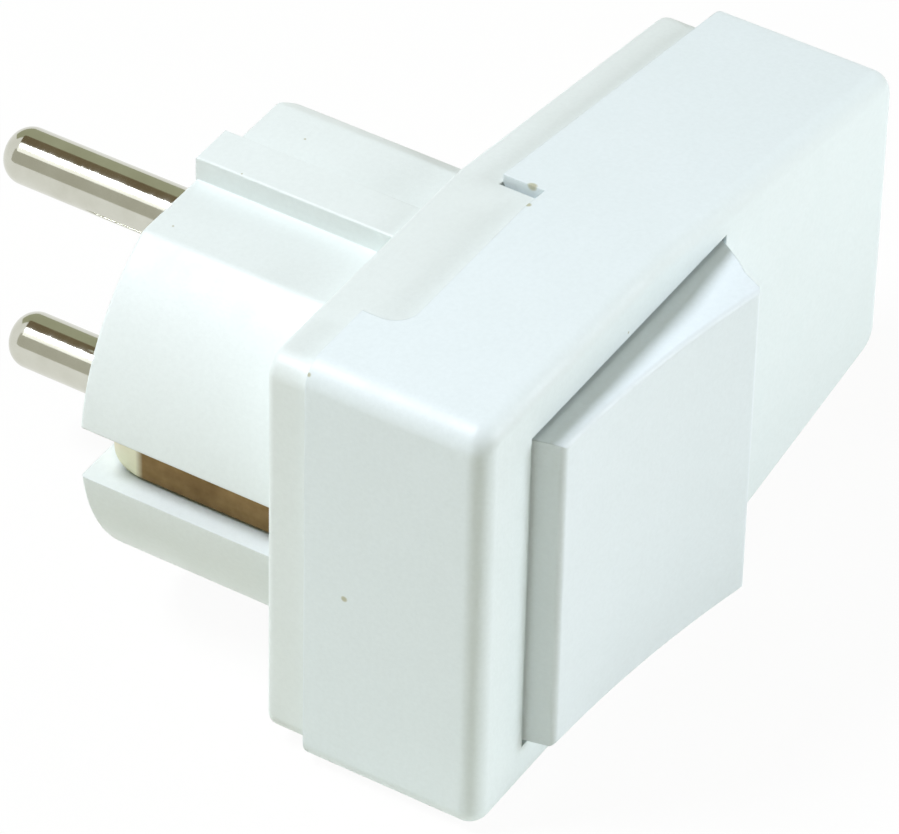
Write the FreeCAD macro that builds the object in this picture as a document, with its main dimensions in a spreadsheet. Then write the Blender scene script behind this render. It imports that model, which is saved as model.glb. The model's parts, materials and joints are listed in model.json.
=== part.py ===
import FreeCAD, Part
import Sketcher
import math
import os

# Right-angled earthed mains plug with a rocker switch in its cover, in millimetres.
# X runs to the cord end, Y to the pin tips, Z up from pin to pin.
# The origin is the middle of the face that the pins stand on. "Depth" is measured
# from that face away from the pin tips, so it runs along -Y.

values = {
    # pins
    "pin_radius": 2.4,
    "pin_length": 19.0,
    "pin_spacing": 19.0,
    "pin_tip_height": 1.9,
    "pin_step": 0.2,
    "pin_collar_radius": 3.4,
    "pin_collar_thickness": 1.2,
    "pin_rivet_radius": 1.5,
    "rivet_head_radius": 2.2,
    "rivet_head_height": 0.7,
    # round neck that enters the socket
    "neck_margin": 9.2,
    "neck_flat_cut": 2.6,
    "neck_flat_corner": 1.2,
    "neck_front_edge": 0.35,
    "neck_length": 18.2,
    "collar_gap": 1.3,
    "pin_face_thickness": 3.5,
    "ridge_width": 4.2,
    "ridge_height": 2.1,
    "channel_width": 5.0,
    "channel_cut": 2.95,
    # base flange behind the neck
    "base_thickness": 3.8,
    "base_floor": 1.8,
    "base_wall": 2.0,
    "base_left_inset": 0.5,
    "base_right_inset": 2.9,
    "base_side_inset": 1.1,
    "base_end_inset": 0.2,
    "base_bend": 7.0,
    "base_corner": 2.0,
    "base_edge": 0.7,
    # cover
    "cover_depth": 15.8,
    "cover_wall": 2.0,
    "cover_left_margin": 2.0,
    "cover_side_margin": 1.4,
    "cover_right": 42.4,
    "cover_bend": 4.7,
    "cover_end_half_height": 14.1,
    "cover_corner": 2.2,
    "cover_edge": 1.7,
    # latch tongue on the base and its notch in the cover
    "tongue_left": 12.4,
    "tongue_end_gap": 0.5,
    "tongue_reach": 3.4,
    "tongue_thickness": 1.4,
    "tongue_gap": 0.35,
    "tongue_corner": 2.2,
    # rocker and its well
    "rocker_x": 0.4,
    "pivot_setback": 7.5,
    "rocker_radius": 15.9,
    "rocker_height": 11.5,
    "rocker_land": 2.3,
    "rocker_lean": 0.82,
    "rocker_side_margin": 4.85,
    "rocker_dish": 0.6,
    "rocker_tilt": 7.2,
    "rocker_front_wall": 1.9,
    "rocker_side_wall": 1.6,
    "rocker_skirt": 4.2,
    "rocker_edge": 0.45,
    "trunnion_radius": 1.8,
    "trunnion_clearance": 0.08,
    "trunnion_lug": 3.4,
    "trunnion_end_gap": 0.1,
    "well_gap": 0.35,
    "well_side_gap": 0.4,
    "well_wall": 1.4,
    "well_depth": 10.0,
    # spring-loaded plungers in the rocker
    "plunger_radius": 1.7,
    "plunger_gap": 0.35,
    "plunger_tail": 2.2,
    "plunger_travel": 0.5,
    "plunger_clearance": 0.08,
    "plunger_tube_wall": 1.2,
    "plunger_tube_gap": 2.8,
    "spring_radius": 1.15,
    "spring_wire": 0.22,
    "spring_turns": 5,
    "spring_gap": 0.3,
    # contact carrier and contacts
    "carrier_gap": 0.43,
    "carrier_terminal_gap": 2.4,
    "carrier_screw_turn": 40.0,
    "strip_thickness": 0.8,
    "strip_width": 5.0,
    "fulcrum_height": 2.8,
    "fulcrum_gap": 0.3,
    "nose_radius": 0.5,
    "nose_clearance": 0.05,
    "bracket_half_width": 1.6,
    "knife_margin": 0.3,
    "seesaw_end": 0.1,
    "seesaw_corner": 1.5,
    "seesaw_thickness": 0.9,
    "seesaw_tilt": 7.2,
    "contact_arm": 7.8,
    "button_radius": 1.3,
    "button_height": 0.45,
    "link_rise_x": 3.6,
    "link_margin": 0.7,
    "window_gap": 0.3,
    "run_z": 5.2,
    "run_width": 2.2,
    # earth strap
    "strap_width": 4.2,
    "strap_thickness": 0.8,
    "strap_nose_radius": 5.0,
    "strap_nose_turn": 59.3,
    "strap_tip_setback": 0.2,
    "strap_gap": 0.3,
    "strap_side_gap": 0.2,
    "earth_link_width": 3.2,
    "earth_link_overlap": 5.5,
    # wire terminals
    "terminal_setback": 20.1,
    "terminal_length": 6.6,
    "terminal_width": 5.0,
    "terminal_height": 5.6,
    "terminal_spacing": 6.9,
    "wire_hole_radius": 1.3,
    "wire_hole_drop": 0.4,
    "wire_hole_start": 1.6,
    "terminal_screw_radius": 1.25,
    "terminal_head_radius": 1.9,
    "terminal_head_height": 1.3,
    "terminal_head_gap": 0.3,
    "terminal_screw_reach": 1.6,
    # housing screws
    "screw_setback": 9.5,
    "screw_z": 9.0,
    "screw_radius": 1.5,
    "screw_head_radius": 2.8,
    "screw_head_height": 1.8,
    "screw_length": 12.0,
    "screw_recess": 2.1,
    "recess_wall": 1.2,
    "head_clearance": 0.3,
    "shank_clearance": 0.1,
    "hole_spare": 1.0,
    "slot_share": 0.13,
    "slot_depth_share": 0.45,
    "boss_radius": 3.0,
    "fit_clearance": 0.02,
    # cord inlet and clamp
    "inlet_rise": 0.1,
    "inlet_radius": 3.7,
    "inlet_collar": 2.0,
    "inlet_collar_wall": 1.2,
    "clamp_setback": 3.6,
    "clamp_width": 4.4,
    "clamp_thickness": 2.0,
    "clamp_screw_z": 6.6,
    "clamp_post_radius": 2.0,
    "clamp_screw_radius": 1.1,
    "clamp_head_radius": 2.0,
    "clamp_head_height": 1.4,
    "clamp_arch": 1.2,
    "clamp_end": 0.4,
    "clamp_shoulder": 0.2,
    "clamp_screw_reach": 7.0,
    "saddle_gap": 0.3,
    "saddle_half_width": 1.0,
    # how far pieces of one moulding run into each other, and how far a cut runs past
    "join": 0.1,
    "neck_join": 0.5,
    "ridge_root": 1.0,
    "cut_past": 1.0,
}

doc = FreeCAD.newDocument("plug")
sheet = doc.addObject("Spreadsheet::Sheet", "size")
for row, (alias, number) in enumerate(values.items(), start=1):
    sheet.set(f"A{row}", alias)
    sheet.set(f"B{row}", str(number))
    sheet.setAlias(f"B{row}", alias)
doc.recompute()


# A size carries its number and the expression that binds it to the sheet.
class Size:
    def __init__(self, number, text):
        self.number = number
        self.text = text

    def __add__(self, other):
        other = as_size(other)
        return Size(self.number + other.number, f"({self.text} + {other.text})")

    def __sub__(self, other):
        other = as_size(other)
        return Size(self.number - other.number, f"({self.text} - {other.text})")

    def __mul__(self, other):
        other = as_size(other)
        return Size(self.number * other.number, f"({self.text} * {other.text})")

    def __truediv__(self, other):
        other = as_size(other)
        return Size(self.number / other.number, f"({self.text} / {other.text})")

    def __neg__(self):
        return Size(-self.number, f"(0 - {self.text})")

    def root(self):
        return Size(math.sqrt(self.number), f"sqrt({self.text})")


def as_size(thing):
    if isinstance(thing, Size):
        return thing
    if thing < 0:
        return Size(thing, f"(0 - {-thing})")
    return Size(thing, str(thing))


def get(alias):
    return Size(float(values[alias]), f"size.{alias}")


def cosine(angle):
    return Size(math.cos(math.radians(angle.number)), f"cos({angle.text} * 1deg)")


def sine(angle):
    return Size(math.sin(math.radians(angle.number)), f"sin({angle.text} * 1deg)")


# Derived places, all from the sheet.
pin_z = get("pin_spacing") / 2
pin_seat_radius = get("pin_radius") - get("pin_step")
neck_radius = pin_z + get("neck_margin")
neck_flat = neck_radius - get("neck_flat_cut")
neck_pocket_radius = pin_z + get("pin_collar_radius") + get("collar_gap")
channel_floor = neck_radius - get("channel_cut")
floor_depth = get("neck_length") + get("base_floor")
parting_depth = get("neck_length") + get("base_thickness")
front_depth = parting_depth + get("cover_depth")
cover_left = neck_radius + get("cover_left_margin")
cover_half_height = neck_radius + get("cover_side_margin")
cover_slope = ((cover_half_height - get("cover_end_half_height"))
               / (get("cover_right") - get("cover_bend")))
base_left = cover_left - get("base_left_inset")
base_right = get("cover_right") - get("base_right_inset")
base_half_height = cover_half_height - get("base_side_inset")
base_end_half_height = get("cover_end_half_height") - get("base_end_inset")
base_slope = (base_half_height - base_end_half_height) / (base_right - get("base_bend"))
tray_half_height = base_half_height - get("base_wall")
tongue_right = get("base_bend")
pivot_depth = front_depth - get("pivot_setback")
carrier_thickness = parting_depth - floor_depth
fulcrum_depth = parting_depth + get("fulcrum_height")
rocker_half_height = cover_half_height - get("rocker_side_margin")
well_radius = get("rocker_radius") + get("well_gap")
well_half_height = rocker_half_height + get("well_side_gap")
rocker_inner = get("rocker_height") - get("rocker_dish") - get("rocker_front_wall")
seesaw_top = get("fulcrum_gap") + get("seesaw_thickness")
seesaw_half_length = get("contact_arm") + get("button_radius") + get("seesaw_end")
plunger_reach = pivot_depth - fulcrum_depth - seesaw_top - get("plunger_gap")
plunger_tube_reach = pivot_depth - fulcrum_depth - seesaw_top - get("plunger_tube_gap")
strip_top = parting_depth + get("strip_thickness")
terminal_x = base_right - get("terminal_setback")
earth_link_start = channel_floor - get("earth_link_overlap")
strap_near = channel_floor + get("fit_clearance")
strap_far = strap_near + get("strap_thickness")
nose_inner = get("strap_nose_radius") - get("strap_thickness")
nose_x = strap_near - nose_inner
nose_cosine = cosine(get("strap_nose_turn"))
nose_sine = sine(get("strap_nose_turn"))
nose_depth = get("strap_tip_setback") + get("strap_nose_radius") * nose_sine
carrier_left = base_left - get("base_wall") - get("carrier_gap")
carrier_right = terminal_x - get("carrier_terminal_gap")
carrier_half_height = (tray_half_height - get("carrier_gap")
                       - base_slope * (carrier_right - get("base_bend")))
carrier_screw_ring = (neck_radius + neck_pocket_radius) / 2
carrier_screw_x = -carrier_screw_ring * cosine(get("carrier_screw_turn"))
carrier_screw_z = carrier_screw_ring * sine(get("carrier_screw_turn"))
screw_x = base_right - get("screw_setback")
inlet_depth = parting_depth + get("inlet_radius") + get("inlet_collar_wall") + get("inlet_rise")
clamp_x = base_right - get("clamp_setback")
clamp_seat = inlet_depth + get("inlet_radius") - get("clamp_arch")


def new_body(label):
    body = doc.addObject("PartDesign::Body", label)
    body.Label = label
    return body


def plane_of(body, role):
    for feature in body.Origin.OriginFeatures:
        if feature.Role == role:
            return feature


def new_sketch(body, name, role, offset=None):
    sketch = body.newObject("Sketcher::SketchObject", f"{body.Name}_{name}")
    sketch.AttachmentSupport = [(plane_of(body, role), "")]
    sketch.MapMode = "FlatFace"
    if offset is not None:
        offset = as_size(offset)
        sketch.AttachmentOffset = FreeCAD.Placement(
            FreeCAD.Vector(0, 0, offset.number), FreeCAD.Rotation())
        sketch.setExpression("AttachmentOffset.Base.z", offset.text)
    return sketch


def hold(sketch, kind, args, size):
    size = as_size(size)
    index = sketch.addConstraint(distance_constraint(kind, args, size.number))
    name = f"d{index}"
    sketch.renameConstraint(index, name)
    sketch.setExpression(f"Constraints.{name}", size.text)


def distance_constraint(kind, args, number):
    return Sketcher.Constraint(kind, *args, number)


def place_point(sketch, geo, pos, x, y):
    hold(sketch, "DistanceX", (-1, 1, geo, pos), x)
    hold(sketch, "DistanceY", (-1, 1, geo, pos), y)


def vector(point):
    return FreeCAD.Vector(as_size(point[0]).number, as_size(point[1]).number, 0)


# Closed outline through the given corners. bows[i] = (radius, side) turns the edge
# that leaves corner i into an arc; side +1 bulges to the right of the travel.
def outline(body, name, role, corners, offset=None, bows=None):
    sketch = new_sketch(body, name, role, offset)
    bows = bows or {}
    count = len(corners)
    ends = []
    for i in range(count):
        start = vector(corners[i])
        end = vector(corners[(i + 1) % count])
        if i in bows:
            radius, side = bows[i]
            chord = end - start
            sagitta = radius.number - math.sqrt(radius.number ** 2 - (chord.Length / 2) ** 2)
            normal = FreeCAD.Vector(chord.y, -chord.x, 0).normalize() * side
            centre = (start + end) * 0.5 + normal * (sagitta - radius.number)
            first, last = (start, end) if side > 0 else (end, start)
            from_angle = math.atan2(first.y - centre.y, first.x - centre.x)
            to_angle = math.atan2(last.y - centre.y, last.x - centre.x)
            if to_angle < from_angle:
                to_angle += math.tau
            circle = Part.Circle(centre, FreeCAD.Vector(0, 0, 1), radius.number)
            sketch.addGeometry(Part.ArcOfCircle(circle, from_angle, to_angle), False)
            ends.append((1, 2) if side > 0 else (2, 1))
        else:
            sketch.addGeometry(Part.LineSegment(start, end), False)
            ends.append((1, 2))
    for i in range(count):
        after = (i + 1) % count
        sketch.addConstraint(Sketcher.Constraint("Coincident", i, ends[i][1], after, ends[after][0]))
    for i in range(count):
        place_point(sketch, i, ends[i][0], *corners[i])
    for i, (radius, side) in bows.items():
        hold(sketch, "Radius", (i,), radius)
    return sketch


def circles(body, name, role, rings, offset=None):
    sketch = new_sketch(body, name, role, offset)
    for x, y, radius in rings:
        centre = vector((x, y))
        geo = sketch.addGeometry(Part.Circle(centre, FreeCAD.Vector(0, 0, 1), as_size(radius).number), False)
        place_point(sketch, geo, 3, x, y)
        hold(sketch, "Radius", (geo,), radius)
    return sketch


def box_corners(left, right, low, high):
    return [(left, low), (right, low), (right, high), (left, high)]


def pad(body, sketch, length, middle=False, reverse=False):
    feature = body.newObject("PartDesign::Pad", sketch.Name + "_pad")
    feature.Profile = sketch
    length = as_size(length)
    feature.Length = length.number
    feature.setExpression("Length", length.text)
    if middle:
        feature.Midplane = True
    feature.Reversed = reverse
    sketch.Visibility = False
    doc.recompute()
    return feature


# The pocket runs along the sketch's own normal; what it removes is checked.
def pocket(body, sketch, length, middle=False):
    before = body.Shape.Volume
    feature = body.newObject("PartDesign::Pocket", sketch.Name + "_pocket")
    feature.Profile = sketch
    length = as_size(length)
    feature.Length = length.number
    feature.setExpression("Length", length.text)
    if middle:
        feature.Midplane = True
    else:
        feature.Reversed = True
    doc.recompute()
    if body.Shape.Volume > before - 1e-4:
        raise RuntimeError(f"{feature.Name} removed nothing")
    return feature


def fillet(body, name, radius, choose):
    base = body.Tip
    edges = []
    for number, edge in enumerate(base.Shape.Edges, start=1):
        if choose(edge):
            edges.append(f"Edge{number}")
    if not edges:
        raise RuntimeError(f"{body.Name} {name}: no edge to round")
    feature = body.newObject("PartDesign::Fillet", f"{body.Name}_{name}")
    feature.Base = (base, edges)
    feature.Radius = radius.number
    feature.setExpression("Radius", radius.text)
    doc.recompute()
    return feature


def revolve(body, sketch, axis_name):
    feature = body.newObject("PartDesign::Revolution", sketch.Name + "_turn")
    feature.Profile = sketch
    feature.ReferenceAxis = (sketch, [axis_name])
    feature.Angle = 360.0
    doc.recompute()
    return feature


def move_to(thing, x, y, z, angle=None):
    x, y, z = as_size(x), as_size(y), as_size(z)
    turn = 0.0 if angle is None else as_size(angle).number
    thing.Placement = FreeCAD.Placement(FreeCAD.Vector(x.number, y.number, z.number),
                                        FreeCAD.Rotation(FreeCAD.Vector(0, 0, 1), turn))
    thing.setExpression("Placement.Base.x", x.text)
    thing.setExpression("Placement.Base.y", y.text)
    thing.setExpression("Placement.Base.z", z.text)
    if angle is not None:
        thing.setExpression("Placement.Rotation.Angle", as_size(angle).text)


# One moulding: tapered flange, round neck with flats, guide ridges and earth channels.
def make_base():
    body = new_body("base_housing")
    left = -base_left
    high = base_half_height
    end_high = base_end_half_height
    corners = [(left, -high), (get("base_bend"), -high), (base_right, -end_high),
               (base_right, end_high), (get("base_bend"), high), (left, high)]
    pad(body, outline(body, "flange", "XZ_Plane", corners, get("neck_length")), get("base_thickness"))
    bend = get("base_bend").number

    def corner_edge(edge):
        first, last = edge.Vertexes[0].Point, edge.Vertexes[-1].Point
        return abs(first.x - last.x) < 1e-6 and abs(first.z - last.z) < 1e-6 and abs(first.x - bend) > 1e-3
    fillet(body, "corners", get("base_corner"), corner_edge)
    back = -get("neck_length").number

    def back_edge(edge):
        return all(abs(v.Y - back) < 1e-6 for v in edge.Vertexes)
    fillet(body, "back_edge", get("base_edge"), back_edge)

    flat = neck_flat
    radius = neck_radius
    half_flat = (radius * radius - flat * flat).root()
    rounds = [(-half_flat, -flat), (half_flat, -flat), (half_flat, flat), (-half_flat, flat)]
    neck = outline(body, "neck", "XZ_Plane", rounds, bows={1: (radius, 1), 3: (radius, 1)})
    pad(body, neck, get("neck_length") + get("neck_join"))
    x_edge, z_edge = half_flat.number, flat.number

    def flat_edge(edge):
        first, last = edge.Vertexes[0].Point, edge.Vertexes[-1].Point
        return (abs(abs(first.x) - x_edge) < 1e-6 and abs(abs(first.z) - z_edge) < 1e-6
                and abs(first.x - last.x) < 1e-6 and abs(first.z - last.z) < 1e-6)
    fillet(body, "flat_edges", get("neck_flat_corner"), flat_edge)

    def neck_front_edge(edge):
        return all(abs(v.Y) < 1e-6 for v in edge.Vertexes)
    fillet(body, "neck_front", get("neck_front_edge"), neck_front_edge)
    half = get("ridge_width") / 2
    top = flat + get("ridge_height")
    root = flat - get("ridge_root")
    for name, low, up in (("ridge_top", root, top), ("ridge_bottom", -top, -root)):
        ridge = outline(body, name, "XZ_Plane", box_corners(-half, half, low, up))
        pad(body, ridge, get("neck_length") + get("neck_join"))

    tray = get("base_wall")
    inner_high = tray_half_height
    inner_end = end_high + base_slope * tray - tray
    inner_right = base_right - tray
    corners = [(left + tray, -inner_high), (get("base_bend"), -inner_high), (inner_right, -inner_end),
               (inner_right, inner_end), (get("base_bend"), inner_high), (left + tray, inner_high)]
    pocket(body, outline(body, "tray", "XZ_Plane", corners, floor_depth), carrier_thickness)
    pocket(body, circles(body, "hollow", "XZ_Plane", [(0, 0, neck_pocket_radius)],
                         get("pin_face_thickness")), floor_depth - get("pin_face_thickness"))
    hole = pin_seat_radius + get("fit_clearance")
    pocket(body, circles(body, "pin_holes", "XZ_Plane", [(0, pin_z, hole), (0, -pin_z, hole)]),
           get("pin_face_thickness"))

    slot = get("strap_width") / 2 + get("strap_side_gap")
    out = radius + get("cut_past")
    slot_far = channel_floor + get("strap_thickness") + get("strap_gap")
    bed = nose_inner - get("fit_clearance")
    end_x = nose_x + nose_inner * nose_cosine - get("strap_side_gap")
    end_y = (bed * bed - (end_x - nose_x) * (end_x - nose_x)).root() - nose_depth
    for name, side in (("left", -1), ("right", 1)):
        corners = [(channel_floor * side, -get("neck_length")), (channel_floor * side, -nose_depth),
                   (end_x * side, end_y), (end_x * side, get("cut_past")), (out * side, get("cut_past")),
                   (out * side, -get("neck_length"))]
        channel = outline(body, f"channel_{name}", "XY_Plane", corners, bows={1: (bed, side)})
        pocket(body, channel, get("channel_width"), middle=True)
        corners = box_corners(channel_floor * side, slot_far * side, -slot, slot)
        pocket(body, outline(body, f"slot_{name}", "XZ_Plane", corners, get("neck_length")), get("base_floor"))

    join = get("join")
    screw_z = get("screw_z")
    ring = get("screw_head_radius") + get("recess_wall")
    pad(body, circles(body, "screw_bosses", "XZ_Plane", [(screw_x, screw_z, ring), (screw_x, -screw_z, ring)],
                      floor_depth - join), carrier_thickness + join)
    head = get("screw_head_radius") + get("head_clearance")
    pocket(body, circles(body, "screw_recess", "XZ_Plane", [(screw_x, screw_z, head), (screw_x, -screw_z, head)],
                         get("neck_length")), get("screw_recess"))
    shank = get("screw_radius") + get("shank_clearance")
    pocket(body, circles(body, "screw_holes", "XZ_Plane", [(screw_x, screw_z, shank), (screw_x, -screw_z, shank)],
                         get("neck_length") + get("screw_recess")), get("base_thickness") - get("screw_recess"))

    seat = get("clamp_screw_radius") + get("fit_clearance")
    deep = get("clamp_screw_reach") + get("hole_spare")
    places = [(carrier_screw_x, carrier_screw_z, seat), (carrier_screw_x, -carrier_screw_z, seat)]
    pocket(body, circles(body, "carrier_holes", "XZ_Plane", places, floor_depth - deep), deep)

    clamp_z = get("clamp_screw_z")
    post = get("clamp_post_radius")
    places = [(clamp_x, clamp_z, post), (clamp_x, -clamp_z, post)]
    pad(body, circles(body, "clamp_posts", "XZ_Plane", places, floor_depth - join),
        clamp_seat - floor_depth + join)
    places = [(clamp_x, clamp_z, seat), (clamp_x, -clamp_z, seat)]
    pocket(body, circles(body, "clamp_holes", "XZ_Plane", places, clamp_seat - deep), deep)
    saddle = clamp_z - post - get("saddle_gap")
    half = get("saddle_half_width")
    corners = box_corners(clamp_x - half, clamp_x + half, -saddle, saddle)
    pad(body, outline(body, "saddle", "XZ_Plane", corners, floor_depth - join),
        inlet_depth - get("inlet_radius") - floor_depth + join)

    reach = -(parting_depth + get("tongue_reach"))
    bend_start = reach + get("tongue_corner")
    root = -parting_depth + get("cut_past")
    corners = [(-get("tongue_left"), root), (-get("tongue_left"), bend_start),
               (-get("tongue_left") + get("tongue_corner"), reach), (tongue_right, reach), (tongue_right, root)]
    tongue = outline(body, "tongue", "XY_Plane", corners, high - get("tongue_thickness"),
                     bows={1: (get("tongue_corner"), 1)})
    pad(body, tongue, get("tongue_thickness"))
    return body


# Cover: tapered shell with the rocker's well, screw bosses, cord inlet and latch notch.
def make_cover():
    body = new_body("front_cover")
    left = -cover_left
    right = get("cover_right")
    high = cover_half_height
    join = get("join")
    end_high = get("cover_end_half_height")
    wall = get("cover_wall")
    bend = get("cover_bend")
    corners = [(left, -high), (bend, -high), (right, -end_high), (right, end_high), (bend, high), (left, high)]
    pad(body, outline(body, "block", "XZ_Plane", corners, parting_depth), get("cover_depth"))
    bend_x = bend.number

    def corner_edge(edge):
        first, last = edge.Vertexes[0].Point, edge.Vertexes[-1].Point
        return abs(first.x - last.x) < 1e-6 and abs(first.z - last.z) < 1e-6 and abs(first.x - bend_x) > 1e-3
    fillet(body, "corners", get("cover_corner"), corner_edge)
    front = -front_depth.number

    def front_edge(edge):
        return all(abs(v.Y - front) < 1e-6 for v in edge.Vertexes)
    fillet(body, "front_edge", get("cover_edge"), front_edge)

    inner_high = high - wall
    inner_end = end_high + cover_slope * wall - wall
    corners = [(left + wall, -inner_high), (bend, -inner_high), (right - wall, -inner_end),
               (right - wall, inner_end), (bend, inner_high), (left + wall, inner_high)]
    pocket(body, outline(body, "hollow", "XZ_Plane", corners, parting_depth), get("cover_depth") - wall)

    rim = get("well_wall")
    centre_x = get("rocker_x")
    well_start = front_depth - get("well_depth")
    outer = well_radius + rim
    corners = box_corners(centre_x - outer, centre_x + outer, -well_half_height - rim, well_half_height + rim)
    pad(body, outline(body, "well", "XZ_Plane", corners, well_start), get("well_depth") - wall + join)
    setback = get("pivot_setback")
    low = pivot_depth - well_start
    face_x = (well_radius * well_radius - setback * setback).root()
    low_x = (well_radius * well_radius - low * low).root()
    out_y = -front_depth - get("cut_past")
    corners = [(centre_x - face_x, out_y), (centre_x + face_x, out_y), (centre_x + face_x, -front_depth),
               (centre_x + low_x, -well_start), (centre_x - low_x, -well_start), (centre_x - face_x, -front_depth)]
    opening = outline(body, "opening", "XY_Plane", corners, bows={2: (well_radius, 1), 4: (well_radius, 1)})
    pocket(body, opening, well_half_height * 2, middle=True)
    bearing = circles(body, "bearing", "XY_Plane",
                      [(centre_x, -pivot_depth, get("trunnion_radius") + get("trunnion_clearance"))])
    pocket(body, bearing, (well_half_height + rim + join) * 2, middle=True)

    screw_z = get("screw_z")
    ring = get("boss_radius")
    pad(body, circles(body, "bosses", "XZ_Plane", [(screw_x, screw_z, ring), (screw_x, -screw_z, ring)],
                      parting_depth), get("cover_depth") - wall + join)
    hole = get("screw_radius") + get("fit_clearance")
    pocket(body, circles(body, "boss_holes", "XZ_Plane", [(screw_x, screw_z, hole), (screw_x, -screw_z, hole)],
                         parting_depth), get("screw_length") - get("hole_spare"))

    inlet = get("inlet_radius")
    start = right - wall - get("inlet_collar")
    pad(body, circles(body, "collar", "YZ_Plane", [(-inlet_depth, 0, inlet + get("inlet_collar_wall"))],
                      start), get("inlet_collar") + join)
    pocket(body, circles(body, "inlet", "YZ_Plane", [(-inlet_depth, 0, inlet)], start),
           get("inlet_collar") + wall + join)

    gap = get("tongue_gap")
    reach = -(parting_depth + get("tongue_reach") + gap)
    corner = get("tongue_corner")
    notch_left = -get("tongue_left") - gap
    root = -parting_depth + get("cut_past")
    notch_right = tongue_right + get("tongue_end_gap")
    corners = [(notch_left, root), (notch_left, reach + corner), (notch_left + corner, reach),
               (notch_right, reach), (notch_right, root)]
    low = base_half_height - get("tongue_thickness") - gap
    notch = outline(body, "notch", "XY_Plane", corners, low, bows={1: (corner, 1)})
    pocket(body, notch, high - low + get("cut_past"))
    return body


# Hollow rocker about its own pivot: dished front, a flat leaning face at each end, then
# ends turned about the pivot, lugs with trunnions, and two tubes for the plungers.
def make_rocker():
    body = new_body("rocker")
    radius = get("rocker_radius")
    height = get("rocker_height")
    land = height - get("rocker_land")
    land_x = (radius * radius - land * land).root()
    chord = land_x - get("rocker_lean")
    skirt = get("rocker_skirt")
    dish = (chord * chord + get("rocker_dish") * get("rocker_dish")) / (get("rocker_dish") * 2)
    skirt_x = (radius * radius - skirt * skirt).root()
    half = rocker_half_height
    corners = [(-chord, -height), (chord, -height), (land_x, -land), (skirt_x, -skirt), (-skirt_x, -skirt),
               (-land_x, -land)]
    profile = outline(body, "profile", "XY_Plane", corners, bows={0: (dish, -1), 2: (radius, 1), 4: (radius, 1)})
    pad(body, profile, half * 2, middle=True)
    front = -height.number

    def front_edge(edge):
        return all(abs(v.Y - front) < 1e-6 for v in edge.Vertexes)
    fillet(body, "front_edges", get("rocker_edge"), front_edge)

    side = get("rocker_side_wall")
    inner = radius - side
    front_x = (inner * inner - rocker_inner * rocker_inner).root()
    inner_x = (inner * inner - skirt * skirt).root()
    corners = [(-front_x, -rocker_inner), (front_x, -rocker_inner), (inner_x, -skirt), (-inner_x, -skirt)]
    hollow = outline(body, "hollow", "XY_Plane", corners, bows={1: (inner, 1), 3: (inner, 1)})
    pocket(body, hollow, (half - side) * 2, middle=True)

    lug = get("trunnion_lug")
    stub = get("well_side_gap") + get("well_wall") - get("trunnion_end_gap")
    for name, start, stub_start in (("top", half - side, half), ("bottom", -half, -half - stub)):
        web = box_corners(-lug, lug, -skirt - get("join"), as_size(0))
        pad(body, outline(body, f"web_{name}", "XY_Plane", web, start), side)
        pad(body, circles(body, f"lug_{name}", "XY_Plane", [(0, 0, lug)], start), side)
        pad(body, circles(body, f"trunnion_{name}", "XY_Plane", [(0, 0, get("trunnion_radius"))], stub_start), stub)

    bore = get("plunger_radius") + get("plunger_clearance")
    tube = bore + get("plunger_tube_wall")
    start = -plunger_tube_reach
    length = rocker_inner + plunger_tube_reach
    pad(body, circles(body, "tubes", "XZ_Plane", [(0, pin_z, tube), (0, -pin_z, tube)], start), length + get("join"))
    pocket(body, circles(body, "bores", "XZ_Plane", [(0, pin_z, bore), (0, -pin_z, bore)], start), length)
    move_to(body, get("rocker_x"), -pivot_depth, 0, -get("rocker_tilt"))
    return body


def make_plunger(label, side):
    body = new_body(label)
    radius = get("plunger_radius")
    tail = -get("plunger_tail")
    reach = plunger_reach
    corners = [(0, tail), (radius, tail), (radius, reach - radius), (0, reach)]
    revolve(body, outline(body, "profile", "XY_Plane", corners, bows={2: (radius, 1)}), "V_Axis")
    move_to(body, get("rocker_x"), -pivot_depth, pin_z * side, -get("rocker_tilt"))
    return body


def make_spring(label, side):
    body = new_body(label)
    wire = get("spring_wire")
    seat = get("fit_clearance")
    start = -rocker_inner + seat
    length = rocker_inner - get("plunger_tail") - get("plunger_travel") - get("spring_gap") - wire * 2 - seat
    near = get("spring_radius") - wire
    corners = box_corners(near, near + wire * 2, start, start + wire * 2)
    profile = outline(body, "wire", "XY_Plane", corners)
    coil = body.newObject("PartDesign::AdditiveHelix", label + "_coil")
    coil.Profile = profile
    coil.ReferenceAxis = (profile, ["V_Axis"])
    coil.Mode = "pitch-turns-angle"
    pitch = length / get("spring_turns")
    coil.Pitch = pitch.number
    coil.setExpression("Pitch", pitch.text)
    coil.Turns = get("spring_turns").number
    coil.setExpression("Turns", get("spring_turns").text)
    doc.recompute()
    move_to(body, get("rocker_x"), -pivot_depth, pin_z * side, -get("rocker_tilt"))
    return body


# Solid pin with a domed tip, an inner collar and a riveted end.
def make_pin(label, side):
    body = new_body(label)
    radius = get("pin_radius")
    seat = pin_seat_radius
    length = get("pin_length")
    dome = get("pin_tip_height")
    face = get("pin_face_thickness")
    collar = face + get("pin_collar_thickness")
    strip = collar + get("strip_thickness")
    end = strip + get("rivet_head_height")
    corners = [(0, -end), (get("rivet_head_radius"), -end), (get("rivet_head_radius"), -strip),
               (get("pin_rivet_radius"), -strip), (get("pin_rivet_radius"), -collar),
               (get("pin_collar_radius"), -collar), (get("pin_collar_radius"), -face), (seat, -face),
               (seat, 0), (radius, 0), (radius, length - dome), (radius - dome, length), (0, length)]
    revolve(body, outline(body, "profile", "XY_Plane", corners, bows={10: (dome, 1)}), "V_Axis")
    move_to(body, 0, 0, pin_z * side)
    return body


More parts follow.
